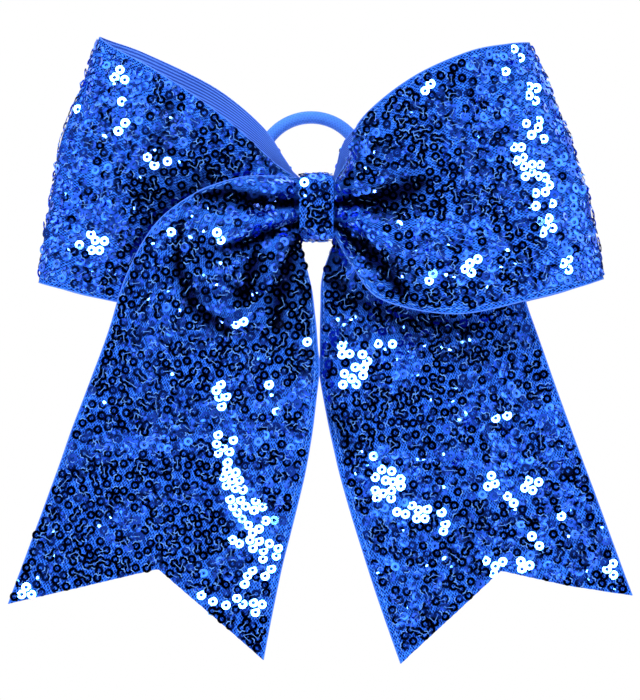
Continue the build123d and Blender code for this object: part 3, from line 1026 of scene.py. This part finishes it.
class HAIRBOW_OT_loops(bpy.types.Operator):
    """Fold the two loops from the knot round to the knot, with net, sequins and stitching"""

    bl_idname = "hair_bow.loops"
    bl_label = "Loops"

    def execute(self, context):
        ribbon = context.scene.hair_bow.ribbon
        for name, rows, side, folds, pleat, reach, seed in (
            ("left_loop", left_loop_rows, -1, left_folds, 1.1, 10, 37),
            ("right_loop", right_loop_rows, 1, right_folds, ribbon.pleat / MM, 34, 41),
        ):
            strip = loop_strip(rows, side, folds, pleat, reach, seed, hollows_and_painted_shade[name])
            nodes = [f"{name}_backing", f"{name}_mesh", f"{name}_sequins"]
            attach = attach_between()
            fold = strip["ends"].mean() * 0.52
            backing, net = dress_strip(name, strip, nodes, attach, seed, split=fold)
        return {"FINISHED"}


def loop_strip(rows, side, folds, pleat, reach, seed, shaded_dips):
    """A loop's strip: full gathers on its front half, shallow ones on its back half."""
    front = ribbon_strip(rows, side, folds, pleat, reach, seed=seed, ripple=0.5, shaded_dips=shaded_dips)
    back = ribbon_strip(rows, side, folds, 0.6, 6, seed=seed, ripple=0.5)
    half = front["ends"].mean() * 0.5
    share = np.clip((front["along"] - half + 15) / 30, 0, 1)[..., None]
    points = front["points"] * (1 - share) + back["points"] * share
    # the far end tucks into the wrap as the near one does
    into = np.clip((front["along"] - front["ends"] + 1.2) / 1.2, 0, 1)
    points[..., 0] -= side * into * 1.4
    points[..., 2] *= 1 - 0.06 * into
    front["points"] = points
    front["furrow"] *= 1 - share[..., 0]
    front["steepest"] = 0
    front["normals"] = grid_normals(points) * (1 if front["flip"] else -1)
    return front


class HAIRBOW_OT_gathers(bpy.types.Operator):
    """Lay the three gathered plies that pass through the wrap"""

    bl_idname = "hair_bow.gathers"
    bl_label = "Gathered plies"

    def execute(self, context):
        # the pleated line: bends of this radius join straight runs of this half length
        turn, reach, line = 0.9375, 3.2225, []
        pitch = 2 * turn
        for i in range(8):
            z, way = 6.5625 - i * pitch, -1 if i % 2 == 0 else 1
            line += [(-13.8 + way * k * reach / 6, z) for k in range(-6, 7)]
            if i < 7:
                for k in range(1, 8):
                    angle = math.pi * k / 8
                    out, down = math.sin(angle) * turn, turn * (1 - math.cos(angle))
                    line.append((-13.8 + way * (reach + out), z - down))
        line = np.array(line)
        x = np.linspace(-5, 5, 9)[:, None] * np.ones((1, len(line)))
        points = np.stack([x, x * 0 + line[:, 0], x * 0 + line[:, 1]], -1)
        arc = np.concatenate([[0], np.cumsum(np.linalg.norm(np.diff(line, axis=0), axis=1))])
        strip = {
            "points": points, "normals": grid_normals(points), "along": x + 5,
            "across": x * 0 + arc, "flip": False,
        }
        for index, place in enumerate(("front", "middle", "back")):
            low = -0.84 + 0.56 * index
            backing = sheet_piece(f"{place}_gather_grosgrain", strip, low, low + 0.25, "grosgrain")
            net = sheet_piece(f"{place}_gather_net", strip, low + 0.29, low + 0.5, "net")
            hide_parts(f"{place}_gather_backing")
            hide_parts(f"{place}_gather_sequin_mesh")
            for piece in (backing, net):
                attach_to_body(piece, "centre")
        return {"FINISHED"}


def wrap_path():
    """The wrap's line in y and z, from the lap's inner end round the knot to its outer end."""
    a, step, half = 0.66, 1.6, 8.6
    back, flap, front = -3.0 + a, -3.0 + step + a, -19.8 - a
    line = [(back, 5.0), (back, -half + 1.1)]

    def corner(y, z, radius, begin, end, steps=8):
        for k in range(1, steps + 1):
            angle = math.radians(begin + (end - begin) * k / steps)
            line.append((y + radius * math.cos(angle), z + radius * math.sin(angle)))

    corner(-4.1, -7.5, 1.1 + a, 0, -90)
    line.append((-17.0, -half - a))
    corner(-17.0, -5.8, 2.8 + a, -90, -180)
    line.append((front, 5.8))
    corner(-17.0, 5.8, 2.8 + a, 180, 90)
    line.append((-2.5, half + a))
    corner(-2.5, 7.5, 1.1 + a, 90, 0)
    line.append((flap, -5.0))
    return np.array(line)


class HAIRBOW_OT_centre_wrap(bpy.types.Operator):
    """Wind the narrow sequinned strip round the knot and lap it at the back"""

    bl_idname = "hair_bow.centre_wrap"
    bl_label = "Centre wrap"

    def execute(self, context):
        line = wrap_path()
        arc = np.concatenate([[0], np.cumsum(np.linalg.norm(np.diff(line, axis=0), axis=1))])
        rows, columns = 130, 15
        at = np.linspace(0, arc[-1], rows)
        y, z = np.interp(at, arc, line[:, 0]), np.interp(at, arc, line[:, 1])
        share = np.linspace(0, 1, columns)
        along = at[:, None] * np.ones((1, columns))
        # the strip is pulled tight, so its edges wander a little and its face creases
        wander = 0.28 * np.sin(at / 5.1) + 0.16 * np.sin(at / 2.3 + 1)
        x = (share[None, :] - 0.5) * (10.0 + wander[:, None] * 0.9)
        points = np.stack([x, y[:, None] + x * 0, z[:, None] + x * 0], -1)
        normals = grid_normals(points)
        middle = np.array([0, -11.4, 0])
        flip = ((points[40:80] - middle) * normals[40:80]).sum() < 0
        if flip:
            normals = -normals
        crease = 0.22 * np.sin(along / 2.1 + x * 0.5) * np.cos(x / 2.2 + along / 7)
        crown = 0.25 * np.cos(share[None, :] * math.pi - math.pi / 2)
        hug = np.clip((along - 14) / 8, 0, 1) * np.clip((arc[-1] - 14 - along) / 8, 0, 1)
        points = points + normals * ((crease + crown) * hug)[..., None]
        normals = grid_normals(points) * (-1 if flip else 1)
        strip = {
            "points": points, "normals": normals, "along": along,
            "across": np.ones((rows, 1)) * (32.5 + share[None, :] * 10),
            "ends": np.full(columns, arc[-1]), "flip": not flip,
        }
        nodes = ["centre_wrap_backing", "centre_wrap_mesh", "centre_wrap_sequins"]

        def attach(piece):
            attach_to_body(piece, "centre")

        backing, net = dress_strip("wrap", strip, nodes, attach, 5, sewn_edges=False, edge=0.9)
        return {"FINISHED"}


class HAIRBOW_OT_hair_elastic(bpy.types.Operator):
    """Run the braided elastic in its closed ring behind the knot"""

    bl_idname = "hair_bow.hair_elastic"
    bl_label = "Hair elastic"

    def execute(self, context):
        elastic = context.scene.hair_bow.elastic
        radius = elastic.diameter / MM / 2
        ring, straight, bend, left = 15.6, 6.5, 9.1, -1.6
        line = [(left - straight + k * 1.0, 0.0) for k in range(13)]

        def turn(cx, cy, r, begin, end, count):
            for k in range(count):
                angle = math.radians(begin + (end - begin) * k / count)
                line.append((cx + r * math.cos(angle), cy + r * math.sin(angle)))

        turn(left + straight, bend, bend, -90, 0, 16)
        line.extend((left + ring, bend + k * 1.3) for k in range(5))
        turn(left, ring, ring, 0, 180, 56)
        line.extend((left - ring, ring - k * 1.3) for k in range(5))
        turn(left - straight, bend, bend, 180, 270, 16)
        flat = np.array(line)
        back = math.radians(10)
        centre = np.stack(
            [flat[:, 0], -5.45 + flat[:, 1] * math.sin(back), -3.6 + flat[:, 1] * math.cos(back)], -1
        )
        way = np.roll(centre, -1, 0) - np.roll(centre, 1, 0)
        way /= np.linalg.norm(way, axis=-1, keepdims=True)
        facing = np.array([0, -math.cos(back), math.sin(back)])
        side = np.cross(way, facing)
        sides = 28
        angle = np.arange(sides + 1) * 2 * math.pi / sides
        rows = len(centre)
        points = (
            centre[:, None]
            + (np.cos(angle[:-1])[None, :, None] * side[:, None]
               + np.sin(angle[:-1])[None, :, None] * facing) * radius
        )
        gaps = np.linalg.norm(np.diff(centre, axis=0, append=centre[:1]), axis=1)
        arc = np.concatenate([[0], np.cumsum(gaps)])
        index = np.arange(rows * sides).reshape(rows, sides)
        after, beside = np.roll(index, -1, 0), np.roll(index, -1, 1)
        quads = np.stack([index, after, np.roll(after, -1, 1), beside], -1).reshape(-1, 4)
        piece = make_piece("hair_elastic_braid", points.reshape(-1, 3), quads, "braid")
        layer = piece.data.uv_layers.new(name="ribbon")
        u0, u1 = np.repeat(arc[:-1], sides), np.repeat(arc[1:], sides)
        v0 = np.tile(angle[:-1] * radius, rows)
        v1 = np.tile(angle[1:] * radius, rows)
        uv = np.stack([u0, v0, u1, v0, u1, v1, u0, v1], -1)
        layer.data.foreach_set("uv", uv.astype(np.float32).ravel())
        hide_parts("hair_elastic_cover")
        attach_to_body(piece, "hair_elastic")
        return {"FINISHED"}


class HAIRBOW_OT_hidden_parts(bpy.types.Operator):
    """Finish the parts inside the knot and the elastic"""

    bl_idname = "hair_bow.hidden_parts"
    bl_label = "Hidden parts"

    def execute(self, context):
        for node, finish in (
            ("cinch_thread", "cinch_thread"), ("wrap_glue", "glue"),
            ("hair_elastic_core", "rubber"), ("elastic_join_sleeve", "sleeve"),
        ):
            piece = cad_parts[node]
            piece.data.materials.clear()
            piece.data.materials.append(finish_named(finish))
        return {"FINISHED"}


# ---------------------------------------------------------------- studio


def soft_light(name, place, towards, size, power, colour="FFFFFF", shiny=True):
    data = bpy.data.lights.new(name, "AREA")
    data.shape, data.size, data.energy, data.color = "DISK", size, power, linear(colour)
    lamp = bpy.data.objects.new(name, data)
    bpy.context.scene.collection.objects.link(lamp)
    lamp.location = place
    lamp.rotation_euler = (Vector(towards) - Vector(place)).to_track_quat("-Z", "Y").to_euler()
    lamp.visible_glossy = shiny
    lamp.visible_camera = False
    return lamp


class HAIRBOW_OT_studio(bpy.types.Operator):
    """Set the pale floor, the soft lights and the camera"""

    bl_idname = "hair_bow.studio"
    bl_label = "Studio"

    def execute(self, context):
        scene, studio = context.scene, context.scene.hair_bow.studio
        scene.view_settings.view_transform = "Standard"
        middle = (0.00105, -0.015, -0.0429)
        camera = bpy.data.objects.new("camera", bpy.data.cameras.new("camera"))
        scene.collection.objects.link(camera)
        camera.location = (middle[0], middle[1] - studio.distance, middle[2])
        camera.rotation_euler = (math.pi / 2, 0, 0)
        camera.data.sensor_width = 36
        camera.data.lens = 36 * studio.distance / studio.view_height
        camera.data.clip_end = 50
        scene.camera = camera

        sides, radius = 96, 1.2
        angle = np.arange(sides) * 2 * math.pi / sides
        mesh = bpy.data.meshes.new("floor")
        ring = [(radius * math.cos(a), radius * math.sin(a), -studio.floor_level) for a in angle]
        mesh.from_pydata(ring, [], [tuple(range(sides))])
        floor = bpy.data.objects.new("floor", mesh)
        scene.collection.objects.link(floor)
        # Uncoated paper roll: matt and very slightly fibrous; it glows a little, as paper does
        # that is lit through from under it
        material, tree = start_material("paper_uncoated")
        place = add_node(tree, "ShaderNodeTexCoord").outputs["Object"]
        fibre = add_node(tree, "ShaderNodeTexNoise", {"Vector": place, "Scale": 400.0}).outputs["Fac"]
        tone = add_node(
            tree, "ShaderNodeMix",
            {0: fibre, 6: rgba(studio.floor_colour, 0.97), 7: rgba(studio.floor_colour)},
            data_type="RGBA",
        ).outputs[2]
        mesh.materials.append(
            finish_material(
                material,
                {
                    "Base Color": tone, "Roughness": 0.9, "Emission Color": (1, 1, 1, 1),
                    "Emission Strength": 0.42,
                },
                fibre, 0.05, 0.2,
            )
        )
        floor.visible_glossy = False

        # A white surround, and a room that only glossy pieces mirror: bright at its sides and
        # dark in front of the bow and behind it
        world = bpy.data.worlds.new("studio_surround")
        scene.world = world
        world.use_nodes = True
        tree = world.node_tree
        tree.nodes.clear()
        way = add_node(tree, "ShaderNodeTexCoord").outputs["Generated"]
        depth = add_node(tree, "ShaderNodeSeparateXYZ", {0: way}).outputs[1]
        facing = add_node(tree, "ShaderNodeMath", {0: depth}, operation="ABSOLUTE").outputs[0]
        room = add_node(
            tree, "ShaderNodeMapRange",
            {"Value": facing, "From Min": 0.55, "From Max": 0.94, "To Min": 2.8, "To Max": 0.006},
            interpolation_type="SMOOTHSTEP",
        ).outputs[0]
        # lamps, windows and dark walls: the room is uneven in every direction
        clutter = add_node(
            tree, "ShaderNodeTexNoise", {"Vector": way, "Scale": 4.5, "Detail": 3.0}
        ).outputs["Fac"]
        uneven = add_node(
            tree, "ShaderNodeMapRange",
            {"Value": clutter, "From Min": 0.43, "From Max": 0.6, "To Min": 0.12, "To Max": 1.7},
        ).outputs[0]
        room = add_node(tree, "ShaderNodeMath", {0: room, 1: uneven}, operation="MULTIPLY").outputs[0]
        mirrored = add_node(
            tree, "ShaderNodeBackground", {"Color": (0.78, 0.9, 1.0, 1.0), "Strength": room}
        ).outputs[0]
        path = add_node(tree, "ShaderNodeLightPath")
        # the white paper behind the bow is brighter than the light that the room gives back
        seen = add_node(
            tree, "ShaderNodeMapRange",
            {"Value": path.outputs["Is Camera Ray"], "To Min": 0.28, "To Max": 1.0},
        ).outputs[0]
        plain = add_node(
            tree, "ShaderNodeBackground", {"Color": (1, 1, 1, 1), "Strength": seen}
        ).outputs[0]
        shiny = path.outputs["Is Glossy Ray"]
        mix = add_node(tree, "ShaderNodeMixShader", {0: shiny, 1: plain, 2: mirrored}).outputs[0]
        add_node(tree, "ShaderNodeOutputWorld", {"Surface": mix})

        soft_light("key_softbox", (-0.35, -0.85, 1.05), middle, 0.5, studio.key, shiny=False)
        soft_light("fill_softbox", (0.9, -0.9, 0.35), middle, 0.6, studio.fill, shiny=False)
        soft_light("top_softbox", (0.1, 0.9, 1.5), middle, 1.0, 16, shiny=False)
        flash = soft_light("flash_lamp", tuple(flash_lamp * MM), middle, 0.22, 13)
        flash.visible_diffuse = False
        return {"FINISHED"}


class HairBowSettings(bpy.types.PropertyGroup):
    """All settings of the bow."""

    ribbon: PointerProperty(type=RibbonSettings, name="Ribbon", description="Ribbon and net")
    sequin: PointerProperty(type=SequinSettings, name="Sequins", description="Sequins and thread")
    elastic: PointerProperty(type=ElasticSettings, name="Elastic", description="Hair elastic")
    studio: PointerProperty(type=StudioSettings, name="Studio", description="Floor and light")


class HAIRBOW_PT_panel(bpy.types.Panel):
    """Settings and steps of the hair bow"""

    bl_idname = "HAIRBOW_PT_panel"
    bl_label = "Hair Bow"
    bl_space_type = "VIEW_3D"
    bl_region_type = "UI"
    bl_category = "Hair Bow"

    def draw(self, context):
        bow = context.scene.hair_bow
        for group in (bow.ribbon, bow.sequin, bow.elastic, bow.studio):
            box = self.layout.box()
            for name in group.__annotations__:
                box.prop(group, name)
        for step in steps:
            self.layout.operator(step.bl_idname)


steps = (
    HAIRBOW_OT_studio, HAIRBOW_OT_tails, HAIRBOW_OT_loops, HAIRBOW_OT_gathers,
    HAIRBOW_OT_centre_wrap, HAIRBOW_OT_hair_elastic, HAIRBOW_OT_hidden_parts,
)
classes = (
    RibbonSettings, SequinSettings, ElasticSettings, StudioSettings, HairBowSettings, *steps,
    HAIRBOW_PT_panel,
)


def register():
    for part in classes:
        bpy.utils.register_class(part)
    bpy.types.Scene.hair_bow = PointerProperty(type=HairBowSettings)


def unregister():
    del bpy.types.Scene.hair_bow
    for part in reversed(classes):
        bpy.utils.unregister_class(part)


def main():
    register()
    bpy.ops.hair_bow.studio()
    bpy.ops.hair_bow.tails()
    bpy.ops.hair_bow.loops()
    bpy.ops.hair_bow.gathers()
    bpy.ops.hair_bow.centre_wrap()
    bpy.ops.hair_bow.hair_elastic()
    bpy.ops.hair_bow.hidden_parts()


if __name__ == "__main__":
    main()
